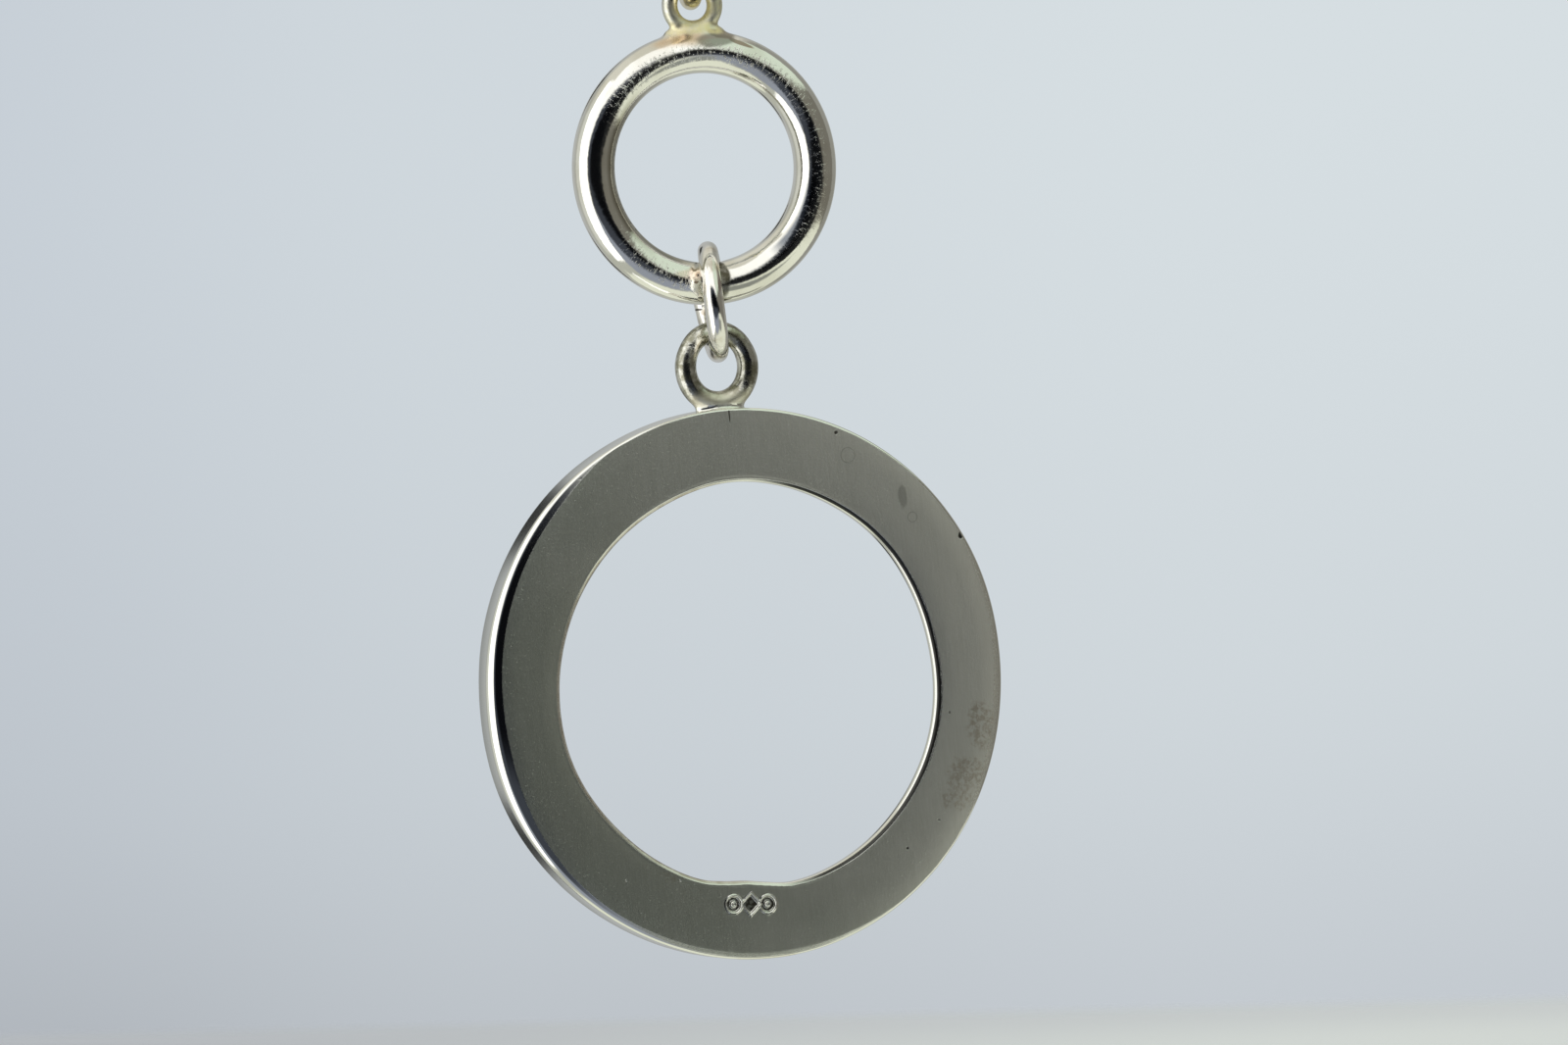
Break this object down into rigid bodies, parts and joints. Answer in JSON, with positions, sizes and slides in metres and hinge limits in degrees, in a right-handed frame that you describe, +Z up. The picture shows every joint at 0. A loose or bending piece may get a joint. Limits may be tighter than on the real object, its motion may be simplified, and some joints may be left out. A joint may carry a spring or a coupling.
{
  "type": "pendant setting",
  "caption": "Silver pendant setting: an open round bezel with a pierced back, hung by a jump ring from a small round-wire ring and a top jump ring.",
  "frame": {"origin": "inside the top of the hanging jump ring, where a chain or cord bears", "axes": "+Z up as it hangs, -Y out of the setting's flat back with the struck mark, +Y out of the open bezel, +X to the right seen from the back"},
  "size_m": [0.0332, 0.007, 0.064],
  "materials": {
    "polished_silver": "polished silver with fine wear and a little tarnish",
    "satin_silver": "flat back brushed satin, wall and edges polished"
  },
  "bodies": {
    "hanger": {"hanging_jump_ring": "polished_silver"},
    "ring_drop": {"upper_ring": "polished_silver"},
    "link": {"link_jump_ring": "polished_silver"},
    "setting_drop": {"setting": "satin_silver"}
  },
  "joints": [
    {"name": "ring_side_swing", "type": "hinge", "parent": "hanger", "child": "ring_drop", "pos_m": [0, 0, -0.0055], "axis": [0.2874, 0.9578, 0], "range_deg": [-90, 90]},
    {"name": "link_front_swing", "type": "hinge", "parent": "ring_drop", "child": "link", "pos_m": [0, 0, -0.02242], "axis": [0.9957, -0.0924, 0], "range_deg": [-90, 90]},
    {"name": "setting_side_swing", "type": "hinge", "parent": "link", "child": "setting_drop", "pos_m": [0, 0, -0.02658], "axis": [0.2874, 0.9578, 0], "range_deg": [-65, 65]}
  ]
}
